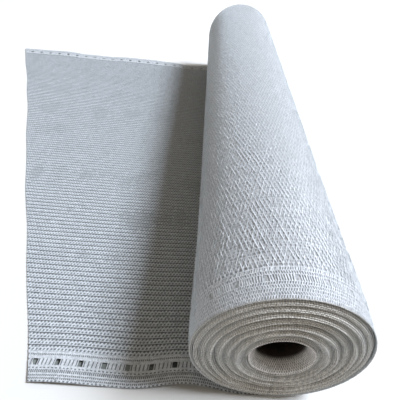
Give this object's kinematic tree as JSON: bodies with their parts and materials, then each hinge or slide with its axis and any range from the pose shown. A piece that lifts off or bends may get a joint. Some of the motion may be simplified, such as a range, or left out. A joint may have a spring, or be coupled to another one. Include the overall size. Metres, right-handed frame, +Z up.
{
  "type": "roll of knitted shade cloth with a loose end laid out",
  "caption": "Roll of open knitted shade cloth round a hollow middle, its loose end laid out flat on the floor beside it, with a row of buttonholes along each selvedge.",
  "frame": {"origin": "on the floor, below the middle of the bounding box of the roll and its loose end together", "axes": "+Y along the roll's axis and the cloth's width, from the near end with the open mouth to the far end; +Z up; +X from the loose end's cut edge towards the roll"},
  "size_m": [0.66, 0.9058, 0.1595],
  "materials": {
    "shade_cloth": "light grey knitted polyethylene tape, slightly shiny"
  },
  "bodies": {
    "root": {"roll": "shade_cloth", "loose_end": "shade_cloth"}
  },
  "joints": []
}
